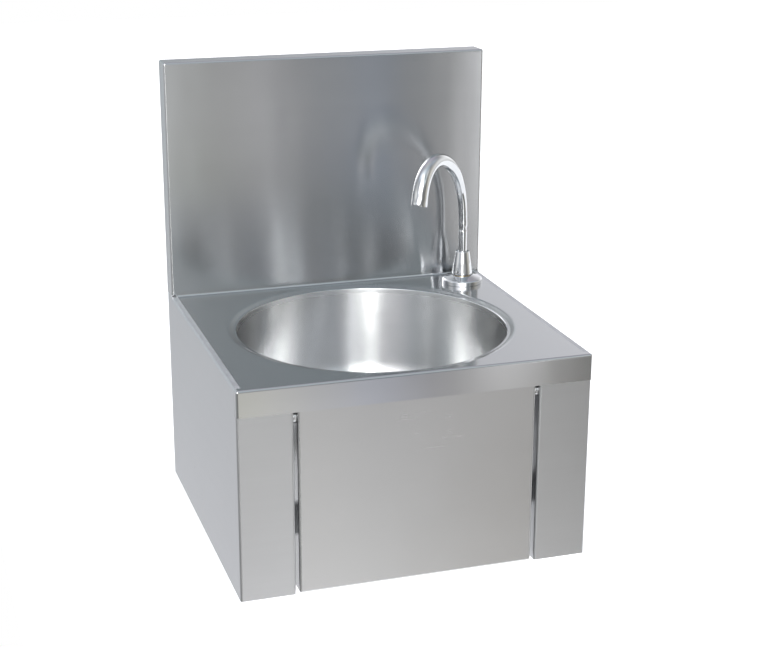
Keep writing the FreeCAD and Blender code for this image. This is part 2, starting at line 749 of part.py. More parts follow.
b = new_body("mixer_bracket_nut")
sk = new_sketch(b, "XY_Plane")
hexagon(sk, 0, 0, 25)
ring(sk, 0, 0, 9)
pad(b, sk, 6)
place(b, BX - 1.5, MY, VZ, TO_LEFT)
keep(b)

# ---------------------------------------------------------------- tap
b = new_body("spout_rosette")
turned(b, [(10.5, 0), (25.3, 0, 0.4), (25.3, 5.0, 0.8), (23.8, 6.4, 1.0), (12.6, 10.2, 0.6), (12.6, 9.4), (10.5, 9.4)])
place(b, TXx, TYy, ZT)
keep(b)

b = new_body("spout_shank")
turned(b, [(4.5, -47), (TH, -47, 0.8), (TH, 9.6), (8.2, 9.6), (8.2, 15.5), (7.0, 15.5), (7.0, 20.5), (8.2, 20.5), (8.2, 27, 0.5), (6 + RUN, 27), (6 + RUN, 2.5), (4.5, 2.5)])
place(b, TXx, TYy, ZT)
keep(b)

b = new_body("spout_gasket")
turned(b, [(TH + 0.4, -2), (19, -2), (19, 0), (TH + 0.4, 0)])
place(b, TXx, TYy, ZT - T)
keep(b)

b = new_body("spout_washer")
turned(b, [(TH + 0.3, -1.8), (18, -1.8), (18, 0), (TH + 0.3, 0)])
place(b, TXx, TYy, ZT - T - 2)
keep(b)

b = new_body("spout_lock_nut")
sk = new_sketch(b, "XY_Plane")
hexagon(sk, 0, 0, 27)
ring(sk, 0, 0, TH)
pad(b, sk, 8)
place(b, TXx, TYy, ZT - T - 3.8, DOWN)
keep(b)

b = new_body("spout_spigot")
turned(b, [(4.4, 3.2), (6, 3.2), (6, 7), (4.9, 7), (4.9, 9), (6, 9), (6, 18), (4.9, 18), (4.9, 20), (6, 20), (6, 28.2), (4.4, 28.2)])
place(b, TXx, TYy, ZT)
keep(b)

parts = []
for zc in (8, 19):
    b = new_body("o_ring_%d" % zc)
    turned(b, [(4.9, -0.8), (5.98, -0.8, 0.6), (5.98, 0.8, 0.6), (4.9, 0.8)])
    place(b, TXx, TYy, ZT + zc)
    parts.append(b)
group("spout_o_rings", *parts)

b = new_body("spout_collar")
turned(b, [(9.0, 10.6), (12.1, 10.6, 0.4), (12.5, 12.6, 3), (10.9, 26.0, 60), (8.7, 40.2, 0.8), (LEG, 40.6), (LEG, 28.2), (9.0, 28.2)])
sk = new_sketch(b, "YZ_Plane", 0)
ring(sk, 0, 18, 1.8)
pocket(b, sk, 14, True)
place(b, TXx, TYy, ZT, Rotation(Vector(0, 0, 1), 40.06))
keep(b)

b = new_body("spout_set_screw")
turned(b, [(0, 7.4), (1.2, 7.4), (1.8, 8.2), (1.8, 11.0), (0, 11.0)])
place(b, TXx, TYy, ZT + 18, Rotation(Vector(0, 0, 1), 40.06).multiply(TO_X))
keep(b)

# swan neck: round sections along a planar curve, wider towards the outlet
HEAD = Vector(-0.76543, -0.64352, 0)
SIDE = Vector(-HEAD.y, HEAD.x, 0)      # square to the tube's plane
FOOT = 28.2          # the tube stands on the spigot's shoulder
LINE = [  # reach, height above the deck, share of the taper
    (0.0, 66.0, 0.0), (0.1, 74.0, 0.01), (0.9, 88.0, 0.03), (2.6, 102.0, 0.06), (5.9, 115.2, 0.11), (10.9, 127.6, 0.18),
    (17.6, 139.0, 0.26), (26.3, 149.1, 0.34), (36.8, 157.5, 0.43), (48.8, 163.4, 0.52), (61.4, 166.5, 0.61), (73.8, 166.1, 0.71),
    (85.0, 162.0, 0.80), (94.5, 154.2, 0.88), (101.3, 143.5, 0.94), (105.2, 131.7, 0.975), (107.6, 119.4, 1.0)]
pts = [HEAD * a + Vector(0, 0, c) for a, c, _ in LINE]
curve = Part.BSplineCurve()
curve.interpolate(pts, InitialTangent=Vector(0, 0, 1), FinalTangent=(pts[-1] - pts[-2]).normalize())
knots = [curve.parameter(p) for p in pts]
STEPS = 30           # sections along the bent part


def share(u):
    """Share of the taper at a parameter of the curve."""
    for i in range(len(knots) - 1):
        if u <= knots[i + 1] or i == len(knots) - 2:
            t = max(0.0, min(1.0, (u - knots[i]) / (knots[i + 1] - knots[i])))
            return LINE[i][2] + (LINE[i + 1][2] - LINE[i][2]) * t


def neck(name, inset, extra):
    """Upright leg and bent part of the tube, as one solid."""
    leg = doc.addObject("Part::Cylinder", name + "_leg")
    r = LEG - inset
    leg.Radius = r.v
    leg.setExpression("Radius", r.e)
    leg.Height = LINE[0][1] - FOOT + extra
    leg.Placement = Placement(Vector(0, 0, FOOT - extra), Rotation())
    rings = []
    for i in range(STEPS + 1):
        u = knots[0] + (knots[-1] - knots[0]) * i / STEPS
        tan = Vector(*curve.tangent(u)[0])
        p = curve.value(u)
        if i == STEPS:
            p = p + tan * extra
        c1 = doc.addObject("Part::Circle", "%s_%02d" % (name, i))
        r = LEG + (MOUTH - LEG) * share(u) - inset
        c1.Radius = r.v
        c1.setExpression("Radius", r.e)
        c1.Placement = Placement(p, Rotation(SIDE, tan.cross(SIDE), tan, "ZXY"))
        rings.append(c1)
    lf = doc.addObject("Part::Loft", name + "_bend")
    lf.Sections = rings
    lf.Solid = True
    lf.Ruled = False
    lf.MaxDegree = 3
    both = doc.addObject("Part::Fuse", name)
    both.Base = leg
    both.Tool = lf
    both.Refine = True
    return both


outer = neck("neck_outside", q(0), 0.0)
inner = neck("neck_inside", WALL, 1.0)
tube = doc.addObject("Part::Cut", "spout_tube")
tube.Base = outer
tube.Tool = inner
doc.recompute()
place(tube, TXx, TYy, ZT)
keep(tube, "spout_tube")

end_tan = Vector(*curve.tangent(curve.parameter(pts[-1]))[0])
end_rot = Rotation(Vector(0, 0, 1), end_tan)
end_pos = Vector(TXx.v, TYy.v, ZT.v) + pts[-1]
b = new_body("aerator_cage")
turned(b, [(7.4, -8), (MOUTH - WALL - 0.35, -8), (MOUTH - WALL - 0.12, -1.2), (7.4, -1.2)])
b.Placement = Placement(end_pos, end_rot)
keep(b)
b = new_body("aerator_screen")
sk = new_sketch(b, "XY_Plane", -3.6)
ring(sk, 0, 0, 7.4)
for k in range(3):
    n = (1, 6, 12)[k]
    for i in range(n):
        a = 2 * math.pi * i / n
        ring(sk, 2.25 * k * math.cos(a), 2.25 * k * math.sin(a), 0.7)
pad(b, sk, 1.6)
b.Placement = Placement(end_pos, end_rot)
keep(b)

# ---------------------------------------------------------------- waste
b = new_body("waste_strainer")
turned(b, [(0, 1.0), (19.5, 1.0), (20, 1.5), (31, 1.5, 0.7), (31, 3.0, 0.8), (24, 3.4), (20, 2.4), (0, 2.4)])
sk = new_sketch(b, "XY_Plane", 1.6)
ring(sk, 0, 0, 20.6)
ring(sk, 0, 0, 19.0)
pad(b, sk, 11, True)
for n, rr, hr in ((6, 8.2, 2.1), (12, 14.6, 2.1)):
    sk = new_sketch(b, "XY_Plane", 5)
    for i in range(n):
        a = 2 * math.pi * (i + 0.5) / n
        ring(sk, rr * math.cos(a), rr * math.sin(a), hr)
    pocket(b, sk, 5)
hole_z(b, 0, 0, 3.1, -1, 5)
place(b, 0, CYc, WZ)
keep(b)

b = new_body("waste_upper_seal")
turned(b, [(23, 0), (30.5, 0), (30.5, 1.5), (23, 1.5)])
place(b, 0, CYc, WZ)
keep(b)

b = new_body("waste_screw")
turned(b, [(0, -33), (3, -33), (3, 2.4), (5.6, 2.4), (5.6, 4.0, 1.2), (0, 4.4)])
sk = new_sketch(b, "XY_Plane", 5)
rect(sk, -4.2, -0.6, 4.2, 0.6)
pocket(b, sk, 2.0)
place(b, 0, CYc, WZ)
keep(b)

b = new_body("waste_lower_seal")
turned(b, [(23, -2), (31, -2), (31, 0), (23, 0)])
place(b, 0, CYc, WZ - T)
keep(b)

b = new_body("waste_body")
turned(b, [(22, 0), (31, 0), (31, -5, 1), (26, -7), (24, -14, 1), (WT, -16), (WT, -76, 1), (17.5, -76), (17.5, -14), (22, -11)])
sk = new_sketch(b, "XY_Plane", -34)
rect(sk, -18.5, -4, 18.5, 4)
pad(b, sk, 7)
sk = new_sketch(b, "XY_Plane", -26)
ring(sk, 0, 0, 3.0)
pocket(b, sk, 9)
place(b, 0, CYc, WZ - T - 2)
keep(b)

# ---------------------------------------------------------------- check and export
doc.recompute()
bad = []
for o in doc.Objects:
    if any(s in ("Invalid", "Error") for s in o.State):
        bad.append("%s state %s" % (o.Name, o.State))
seen = set()
for o in nodes:
    s = o.Shape
    if s.isNull() or not s.isValid():
        bad.append("%s shape" % o.Label)
    if o.Label in seen:
        bad.append("%s twice" % o.Label)
    seen.add(o.Label)
if bad:
    raise RuntimeError("; ".join(bad))
for o in nodes:
    o.Shape.exportStep("parts/%s.step" % o.Label)
    bb = o.Shape.BoundBox
    print("%-20s solids %d  vol %10.1f  x %.1f..%.1f  y %.1f..%.1f  z %.1f..%.1f" % (
        o.Label, len(o.Shape.Solids), o.Shape.Volume, bb.XMin, bb.XMax, bb.YMin, bb.YMax, bb.ZMin, bb.ZMax))
print(len(nodes), "nodes")
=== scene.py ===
import math

import bmesh
import bpy
from mathutils import Matrix, Vector


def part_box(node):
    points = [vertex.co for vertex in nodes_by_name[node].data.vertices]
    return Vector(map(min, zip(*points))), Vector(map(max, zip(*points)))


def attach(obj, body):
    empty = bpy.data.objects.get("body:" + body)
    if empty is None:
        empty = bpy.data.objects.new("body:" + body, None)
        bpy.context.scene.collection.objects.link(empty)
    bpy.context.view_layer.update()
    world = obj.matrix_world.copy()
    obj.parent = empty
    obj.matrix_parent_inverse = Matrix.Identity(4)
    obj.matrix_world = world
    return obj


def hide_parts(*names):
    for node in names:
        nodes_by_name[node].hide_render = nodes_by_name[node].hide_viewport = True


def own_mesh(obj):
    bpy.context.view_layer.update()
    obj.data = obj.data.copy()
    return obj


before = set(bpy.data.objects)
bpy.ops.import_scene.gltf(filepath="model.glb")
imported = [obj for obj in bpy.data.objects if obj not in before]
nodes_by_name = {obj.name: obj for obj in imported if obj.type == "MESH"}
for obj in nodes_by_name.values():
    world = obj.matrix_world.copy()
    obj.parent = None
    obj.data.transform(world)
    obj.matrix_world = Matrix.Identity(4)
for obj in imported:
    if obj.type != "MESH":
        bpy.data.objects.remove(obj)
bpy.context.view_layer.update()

scene = bpy.context.scene

# ------------------------------------------------------------------ camera
AZ, EL, ROLL = math.radians(-17.78), math.radians(17.83), math.radians(0.149)
fw = Vector((-math.sin(AZ) * math.cos(EL), math.cos(AZ) * math.cos(EL), -math.sin(EL)))
rt = fw.cross(Vector((0, 0, 1))).normalized()
up = rt.cross(fw)
rt, up = rt * math.cos(ROLL) + up * math.sin(ROLL), up * math.cos(ROLL) - rt * math.sin(ROLL)
cam = bpy.data.objects.new("camera", bpy.data.cameras.new("camera"))
scene.collection.objects.link(cam)
cam.data.sensor_width = 36.0
cam.data.lens = 1591.0 / 757.0 * 36.0
cam.data.clip_start, cam.data.clip_end = 0.05, 60.0
m = Matrix((rt, up, -fw)).transposed().to_4x4()
m.translation = Vector((-0.5268, -1.8716, 0.6892))
cam.matrix_world = m
scene.camera = cam
scene.view_settings.view_transform = "Standard"
scene.view_settings.look = "None"
scene.view_settings.exposure = 0.0
scene.view_settings.gamma = 1.0


# ------------------------------------------------------------------ node helpers
class Net:
    """A small wrapper that adds and links nodes."""

    def __init__(self, tree):
        self.t = tree
        self.n = tree.nodes
        self.x = 0

    def node(self, kind, **props):
        nd = self.n.new(kind)
        self.x += 40
        nd.location = (self.x, 0)
        for k, v in props.items():
            setattr(nd, k, v)
        return nd

    def put(self, sock, value):
        if value is None:
            return
        if isinstance(value, bpy.types.NodeSocket):
            self.t.links.new(value, sock)
        elif hasattr(sock.default_value, "__len__") and not hasattr(value, "__len__"):
            sock.default_value = [value] * len(sock.default_value)
        elif hasattr(sock.default_value, "__len__") and len(sock.default_value) == 4 and len(value) == 3:
            sock.default_value = (*value, 1.0)
        else:
            sock.default_value = value

    def math(self, op, a, b=None, c=None, clamp=False):
        nd = self.node("ShaderNodeMath", operation=op, use_clamp=clamp)
        for s, v in zip(nd.inputs, (a, b, c)):
            self.put(s, v)
        return nd.outputs[0]

    def vec(self, op, a, b=None, scale=None):
        nd = self.node("ShaderNodeVectorMath", operation=op)
        self.put(nd.inputs[0], a)
        if b is not None:
            self.put(nd.inputs[1], b)
        if scale is not None:
            self.put(nd.inputs["Scale"], scale)
        return nd.outputs["Value"] if op in ("DOT_PRODUCT", "LENGTH", "DISTANCE") else nd.outputs[0]

    def xyz(self, v):
        nd = self.node("ShaderNodeSeparateXYZ")
        self.put(nd.inputs[0], v)
        return nd.outputs[0], nd.outputs[1], nd.outputs[2]

    def comb(self, x, y, z):
        nd = self.node("ShaderNodeCombineXYZ")
        for s, v in zip(nd.inputs, (x, y, z)):
            self.put(s, v)
        return nd.outputs[0]

    def noise(self, v, scale=1.0, detail=2.0, rough=0.5, dist=0.0):
        nd = self.node("ShaderNodeTexNoise")
        self.put(nd.inputs["Vector"], v)
        nd.inputs["Scale"].default_value = scale
        nd.inputs["Detail"].default_value = detail
        nd.inputs["Roughness"].default_value = rough
        nd.inputs["Distortion"].default_value = dist
        return nd.outputs["Fac"]

    def span(self, v, a, b, c, d, smooth=False):
        nd = self.node("ShaderNodeMapRange", clamp=True)
        if smooth:
            nd.interpolation_type = "SMOOTHSTEP"
        for s, x in zip(nd.inputs, (v, a, b, c, d)):
            self.put(s, x)
        return nd.outputs[0]

    def mix(self, f, a, b):
        nd = self.node("ShaderNodeMix", data_type="FLOAT")
        self.put(nd.inputs[0], f)
        self.put(nd.inputs[2], a)
        self.put(nd.inputs[3], b)
        return nd.outputs[0]

    def colour(self, f, a, b, blend="MIX"):
        nd = self.node("ShaderNodeMix", data_type="RGBA", blend_type=blend)
        self.put(nd.inputs[0], f)
        self.put(nd.inputs[6], a)
        self.put(nd.inputs[7], b)
        return nd.outputs[2]

    def bump(self, h, strength, distance, normal=None):
        nd = self.node("ShaderNodeBump")
        self.put(nd.inputs["Height"], h)
        nd.inputs["Strength"].default_value = strength
        nd.inputs["Distance"].default_value = distance
        if normal is not None:
            self.put(nd.inputs["Normal"], normal)
        return nd.outputs[0]


def material(name):
    mt = bpy.data.materials.new(name)
    mt.use_nodes = True
    nt = Net(mt.node_tree)
    b = mt.node_tree.nodes["Principled BSDF"]
    return mt, nt, b


def coords(nt):
    tc = nt.node("ShaderNodeTexCoord")
    return tc.outputs["Object"], tc.outputs["Normal"]


def grain(nt, pos, nrm, along=9.0, across=1100.0):
    """Fine lines of brushing, level on every face: 0 to 1."""
    x, y, z = nt.xyz(pos)
    nx, ny, nz = nt.xyz(nrm)
    a = nt.comb(nt.math("MULTIPLY", x, along), nt.math("MULTIPLY", y, across), nt.math("MULTIPLY", z, across))
    b = nt.comb(nt.math("MULTIPLY", x, across), nt.math("MULTIPLY", y, along), nt.math("MULTIPLY", z, across))
    side = nt.span(nt.math("ABSOLUTE", nx), 0.6, 0.8, 0.0, 1.0)
    ga = nt.noise(a, 1.0, 3.0, 0.65)
    gb = nt.noise(b, 1.0, 3.0, 0.65)
    return nt.mix(side, ga, gb)


def sheet_steel(name, tone=(0.52, 0.525, 0.535), rough=0.20, aniso=0.6, wave=0.0006, ground=False, collar=False):
    mt, nt, p = material(name)
    pos, nrm = coords(nt)
    x, y, z = nt.xyz(pos)
    g = grain(nt, pos, nrm)
    soft = nt.noise(pos, 9.0, 3.0, 0.55)                       # broad, cloudy handling marks
    fine = nt.noise(pos, 70.0, 3.0, 0.6)
    streak = nt.noise(nt.vec("MULTIPLY", pos, (1.2, 1.2, 34.0)), 2.2, 3.0, 0.55)
    f = nt.span(g, 0.25, 0.75, 0.992, 1.008)
    f = nt.math("MULTIPLY", f, nt.span(soft, 0.3, 0.7, 0.985, 1.015))
    f = nt.math("MULTIPLY", f, nt.span(streak, 0.3, 0.7, 0.99, 1.01))
    col = nt.vec("SCALE", nt.comb(*tone), scale=f)
    r = nt.math("MULTIPLY", nt.span(g, 0.25, 0.75, rough * 0.97, rough * 1.03), nt.span(soft, 0.3, 0.7, 0.97, 1.03))
    r = nt.math("MULTIPLY", r, nt.span(fine, 0.3, 0.7, 0.985, 1.015))
    if ground:
        # the top lip and the fold above the side are ground after welding: paler and rougher
        edge = nt.math("ADD", z, nt.span(nt.noise(pos, 60.0, 3.0, 0.6), 0.2, 0.8, -0.003, 0.003))
        lip = nt.span(edge, 0.1185, 0.1235, 0.0, 1.0, smooth=True)
        swirl = nt.noise(nt.vec("MULTIPLY", pos, (300.0, 120.0, 300.0)), 1.0, 4.0, 0.7, 1.5)
        col = nt.colour(lip, col, nt.vec("SCALE", nt.comb(0.62, 0.63, 0.645), scale=nt.span(swirl, 0.3, 0.7, 0.9, 1.08)))
        r = nt.mix(lip, r, nt.span(swirl, 0.3, 0.7, 0.42, 0.58))
    if collar:
        # the drawn collar is polished in one go with the bowl's wall and takes the bowl's tone, paler than the deck
        # steel: partly its polish, partly painted light
        rad = nt.vec("LENGTH", nt.comb(x, nt.math("ADD", y, 0.2037), 0.0))
        collar_polish_and_painted_light = nt.math("MULTIPLY", nt.span(rad, 0.1565, 0.1569, 1.0, 0.0), nt.span(z, 0.1220, 0.1225, 1.0, 0.0))
        col = nt.colour(collar_polish_and_painted_light, col, nt.vec("SCALE", nt.comb(0.70, 0.705, 0.71), scale=f))
        r = nt.mix(collar_polish_and_painted_light, r, 0.28)
    p.inputs["Metallic"].default_value = 1.0
    nt.put(p.inputs["Base Color"], col)
    nt.put(p.inputs["Roughness"], r)
    p.inputs["Anisotropic"].default_value = aniso
    nt.put(p.inputs["Tangent"], nt.comb(0.0, 0.02, 1.0))
    # the sheet isn't quite flat: long shallow ripples, mostly upright
    broad = nt.noise(nt.vec("MULTIPLY", pos, (1.0, 1.0, 0.3)), 11.0, 2.0, 0.4)
    h1 = nt.bump(broad, 1.0, wave)
    nt.put(p.inputs["Normal"], nt.bump(g, 0.008, 0.0002, h1))
    return mt


# partly its polish and partly painted light: the bowl's tone is set paler than the sheet steel (0.70 against about
# 0.53) to stand in for the stronger light that falls into the bowl
def bowl_steel(name, tone=(0.70, 0.705, 0.71)):
    mt, nt, p = material(name)
    pos, nrm = coords(nt)
    # turning lines run round the bowl: they depend on height and on distance from the axis
    x, y, z = nt.xyz(pos)
    rad = nt.vec("LENGTH", nt.comb(x, nt.math("ADD", y, 0.2037), 0.0))
    ang = nt.math("ARCTAN2", nt.math("ADD", y, 0.2037), x)
    ring = nt.comb(nt.math("MULTIPLY", rad, 600.0), nt.math("MULTIPLY", z, 600.0), nt.math("MULTIPLY", ang, 1.3))
    g = nt.noise(ring, 1.0, 3.0, 0.65)
    soft = nt.noise(pos, 16.0, 3.0, 0.5)
    f = nt.math("MULTIPLY", nt.span(g, 0.25, 0.75, 0.985, 1.015), nt.span(soft, 0.3, 0.7, 0.98, 1.02))
    nt.put(p.inputs["Base Color"], nt.vec("SCALE", nt.comb(*tone), scale=f))
    nt.put(p.inputs["Roughness"], nt.math("ADD", nt.span(g, 0.25, 0.75, 0.235, 0.255), nt.span(soft, 0.3, 0.7, -0.01, 0.01)))
    p.inputs["Metallic"].default_value = 1.0
    p.inputs["Anisotropic"].default_value = 0.95
    p.inputs["Anisotropic Rotation"].default_value = 0.25
    tg = nt.node("ShaderNodeTangent", direction_type="RADIAL", axis="Z")
    nt.put(p.inputs["Tangent"], tg.outputs[0])
    nt.put(p.inputs["Normal"], nt.bump(g, 0.015, 0.0002))
    return mt


def chrome(name, tone=(0.59, 0.60, 0.615)):
    mt, nt, p = material(name)
    pos, nrm = coords(nt)
    smudge = nt.noise(pos, 90.0, 4.0, 0.6)
    speck = nt.noise(pos, 900.0, 2.0, 0.5)
    nt.put(p.inputs["Base Color"], nt.vec("SCALE", nt.comb(*tone), scale=nt.span(smudge, 0.3, 0.7, 0.97, 1.02)))
    nt.put(p.inputs["Roughness"], nt.math("ADD", nt.span(smudge, 0.35, 0.75, 0.035, 0.075), nt.span(speck, 0.55, 0.8, 0.0, 0.03)))
    p.inputs["Metallic"].default_value = 1.0
    nt.put(p.inputs["Normal"], nt.bump(nt.noise(pos, 140.0, 2.0, 0.5), 0.06, 0.0003))
    return mt


def metal(name, tone, rough, cell=260.0, var=0.07, bump=0.12):
    mt, nt, p = material(name)
    pos, nrm = coords(nt)
    a = nt.noise(pos, cell, 4.0, 0.65)
    b = nt.noise(pos, 35.0, 3.0, 0.5)
    f = nt.math("MULTIPLY", nt.span(a, 0.3, 0.7, 1.0 - var, 1.0 + var), nt.span(b, 0.3, 0.7, 0.94, 1.05))
    nt.put(p.inputs["Base Color"], nt.vec("SCALE", nt.comb(*tone), scale=f))
    nt.put(p.inputs["Roughness"], nt.math("ADD", nt.span(a, 0.3, 0.7, rough - 0.06, rough + 0.06), nt.span(b, 0.3, 0.7, -0.04, 0.04)))
    p.inputs["Metallic"].default_value = 1.0
    nt.put(p.inputs["Normal"], nt.bump(a, bump, 0.0002))
    return mt


def dull(name, tone, rough, cell=500.0, var=0.12, bump=0.25, dist=0.0003):
    """Rubber and plastics: fine pitted grain, slight dust in tone."""
    mt, nt, p = material(name)
    pos, nrm = coords(nt)
    a = nt.noise(pos, cell, 4.0, 0.6)
    b = nt.noise(pos, 60.0, 3.0, 0.5)
    f = nt.math("MULTIPLY", nt.span(a, 0.3, 0.7, 1.0 - var, 1.0 + var), nt.span(b, 0.3, 0.7, 0.9, 1.1))
    nt.put(p.inputs["Base Color"], nt.vec("SCALE", nt.comb(*tone), scale=f))
    nt.put(p.inputs["Roughness"], nt.math("ADD", nt.span(a, 0.3, 0.7, rough - 0.07, rough + 0.07), nt.span(b, 0.3, 0.7, -0.03, 0.05)))
    nt.put(p.inputs["Normal"], nt.bump(a, bump, dist))
    return mt


def braid(name, strand=0.0011):
    """Woven steel wire over rubber: two families of strands that cross and pass over each other."""
    mt, nt, p = material(name)
    pos, nrm = coords(nt)
    x, y, z = nt.xyz(pos)
    k = 1.0 / (strand * 2.0 * math.sqrt(2.0))
    a = nt.math("MULTIPLY", nt.math("ADD", nt.math("ADD", x, y), z), k)
    b = nt.math("MULTIPLY", nt.math("SUBTRACT", nt.math("SUBTRACT", x, y), z), k)
    c = nt.math("MULTIPLY", nt.math("SUBTRACT", y, z), k)
    nx, ny, nz = nt.xyz(nrm)
    flat = nt.span(nt.math("ABSOLUTE", nx), 0.55, 0.65, 0.0, 1.0)
    b = nt.mix(flat, b, c)
    ra = nt.math("ABSOLUTE", nt.math("SINE", nt.math("MULTIPLY", a, math.pi * 2.0)))
    rb = nt.math("ABSOLUTE", nt.math("SINE", nt.math("MULTIPLY", b, math.pi * 2.0)))
    over = nt.math("PINGPONG", nt.math("ADD", nt.math("FLOOR", nt.math("MULTIPLY", a, 2.0)), nt.math("FLOOR", nt.math("MULTIPLY", b, 2.0))), 1.0)
    h = nt.mix(over, nt.math("MULTIPLY", ra, nt.math("ADD", 0.6, nt.math("MULTIPLY", rb, 0.4))), nt.math("MULTIPLY", rb, nt.math("ADD", 0.6, nt.math("MULTIPLY", ra, 0.4))))
    wire = nt.noise(pos, 2600.0, 2.0, 0.6)
    dust = nt.noise(pos, 45.0, 3.0, 0.5)
    # painted shade: the colour darkens down the flanks of each strand and into the gaps between strands, where the
    # dark rubber also shows
    painted_strand_shade = nt.span(h, 0.05, 0.75, 0.16, 1.0, smooth=True)
    f = nt.math("MULTIPLY", nt.math("MULTIPLY", painted_strand_shade, nt.span(wire, 0.3, 0.7, 0.88, 1.10)), nt.span(dust, 0.3, 0.7, 0.93, 1.05))
    nt.put(p.inputs["Base Color"], nt.vec("SCALE", nt.comb(0.60, 0.605, 0.61), scale=f))
    nt.put(p.inputs["Roughness"], nt.span(wire, 0.3, 0.7, 0.26, 0.36))
    nt.put(p.inputs["Metallic"], nt.span(h, 0.05, 0.3, 0.2, 1.0))
    nt.put(p.inputs["Normal"], nt.bump(h, 0.9, 0.0005))
    return mt


M = {
    "splash": sheet_steel("steel_splashback", (0.52, 0.528, 0.540), 0.18, 1.0, 0.0003),
    "deck": sheet_steel("steel_deck", (0.53, 0.537, 0.546), 0.14, 0.80, 0.0002, collar=True),
    "side": sheet_steel("steel_side", (0.53, 0.535, 0.545), 0.29, 0.60, 0.00025, ground=True),
    "knee": sheet_steel("steel_knee_panel", (0.53, 0.53, 0.532), 0.26, 0.70, 0.00025),
    "rail": sheet_steel("steel_rail", (0.52, 0.525, 0.53), 0.32, 0.5),
    "bowl": bowl_steel("steel_bowl"),
    "strainer": metal("steel_strainer", (0.62, 0.625, 0.63), 0.22, 300.0, 0.05, 0.08),
    "chrome": chrome("chrome"),
    "nickel": metal("nickel_plate", (0.66, 0.645, 0.61), 0.20, 240.0, 0.05, 0.08),
    "crimp": metal("crimped_steel", (0.58, 0.585, 0.59), 0.26, 300.0, 0.06, 0.12),
    "bolt": metal("bolt_steel", (0.55, 0.555, 0.56), 0.28, 380.0, 0.08, 0.12),
    "wire": metal("spring_wire", (0.42, 0.42, 0.43), 0.34, 700.0, 0.10, 0.18),
    "braid": braid("steel_braid"),
    "brass": metal("brass", (0.74, 0.57, 0.29), 0.30, 260.0, 0.08, 0.14),
    "rubber": dull("black_rubber", (0.028, 0.028, 0.030), 0.72),
    "acetal": dull("white_acetal", (0.78, 0.78, 0.76), 0.42, 420.0, 0.03, 0.10),
    "knob": dull("black_plastic", (0.035, 0.035, 0.038), 0.45, 650.0, 0.10, 0.22),
}
LOOK = {
    "deck": "deck", "splashback": "splash", "left_side_panel": "side", "right_side_panel": "side", "bowl": "bowl",
    "rear_rail": "rail", "valve_rail": "rail", "knee_panel": "knee", "knee_push_pad": "rubber", "pivot_bolts": "bolt",
    "pivot_bushes": "acetal", "pivot_spacers": "bolt", "pivot_nuts": "bolt", "rest_stop_hooks": "rail",
    "rest_stop_pads": "rubber", "travel_stop_pads": "rubber", "valve_body": "nickel", "valve_lock_nut": "brass",
    "valve_plunger": "bolt", "valve_plunger_ring": "rubber", "valve_spring": "wire", "hose_nuts": "nickel",
    "hose_ferrules": "crimp", "mixer_body": "nickel", "mixer_spindle": "brass", "mixer_knob": "knob",
    "check_valves": "acetal", "mixer_bracket": "rail", "mixer_bracket_nut": "brass", "spout_rosette": "chrome",
    "spout_shank": "brass", "spout_gasket": "rubber", "spout_washer": "bolt", "spout_lock_nut": "brass",
    "spout_spigot": "brass", "spout_o_rings": "rubber", "spout_collar": "chrome", "spout_set_screw": "bolt",
    "spout_tube": "chrome", "aerator_cage": "chrome", "aerator_screen": "acetal", "waste_strainer": "strainer",
    "waste_upper_seal": "rubber", "waste_screw": "bolt", "waste_lower_seal": "rubber", "waste_body": "chrome",
    "outlet_hose": "braid", "inlet_hose": "braid",
}
for name, ob in nodes_by_name.items():
    mt = M[LOOK[name]]
    if not ob.data.materials:
        ob.data.materials.append(mt)
    for s in ob.material_slots:
        s.link = "OBJECT"
        s.material = mt

# ------------------------------------------------------------------ the return spring: a copy on its own mesh stands in for the CAD spring
cad = nodes_by_name["valve_spring"]
coil = bpy.data.objects.new("return_spring", cad.data.copy())
scene.collection.objects.link(coil)
coil.matrix_world = cad.matrix_world.copy()
for s in coil.material_slots:
    s.link = "OBJECT"
    s.material = M["wire"]
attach(coil, "cabinet")
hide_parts("valve_spring")
s_lo, s_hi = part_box("valve_spring")
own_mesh(coil)

# ------------------------------------------------------------------ floor, world and lights
bm = bmesh.new()
bmesh.ops.create_grid(bm, x_segments=2, y_segments=2, size=1.0)
me = bpy.data.meshes.new("floor")
bm.to_mesh(me)
bm.free()
for v in me.vertices:
    v.co = Vector((3.9 + v.co.x * 4.25, 4.4 + v.co.y * 5.6, -0.78))
floor = bpy.data.objects.new("floor", me)
scene.collection.objects.link(floor)
mt, nt, p = material("floor_white")
pos, nrm = coords(nt)
nt.put(p.inputs["Base Color"], nt.vec("SCALE", nt.comb(0.92, 0.92, 0.92), scale=nt.span(nt.noise(pos, 3.0, 2.0), 0.3, 0.7, 0.99, 1.01)))
p.inputs["Roughness"].default_value = 0.8
p.inputs["Emission Color"].default_value = (1, 1, 1, 1)
p.inputs["Emission Strength"].default_value = 0.55
# one sided: it shows from above only, so that the open underside can be looked at
geo = nt.node("ShaderNodeNewGeometry")
clear = nt.node("ShaderNodeBsdfTransparent")
pick = nt.node("ShaderNodeMixShader")
nt.t.links.new(geo.outputs["Backfacing"], pick.inputs[0])
nt.t.links.new(p.outputs[0], pick.inputs[1])
nt.t.links.new(clear.outputs[0], pick.inputs[2])
nt.t.links.new(pick.outputs[0], mt.node_tree.nodes["Material Output"].inputs["Surface"])
me.materials.append(mt)

world = bpy.data.worlds.new("studio")
scene.world = world
world.use_nodes = True
wt = Net(world.node_tree)
bg = world.node_tree.nodes["Background"]
tc = wt.node("ShaderNodeTexCoord")
d = wt.vec("NORMALIZE", tc.outputs["Generated"])


dx, dy, dz = wt.xyz(d)
az_in = wt.math("ARCTAN2", dx, wt.math("MULTIPLY", dy, -1.0))
el_in = wt.math("ARCSINE", dz)


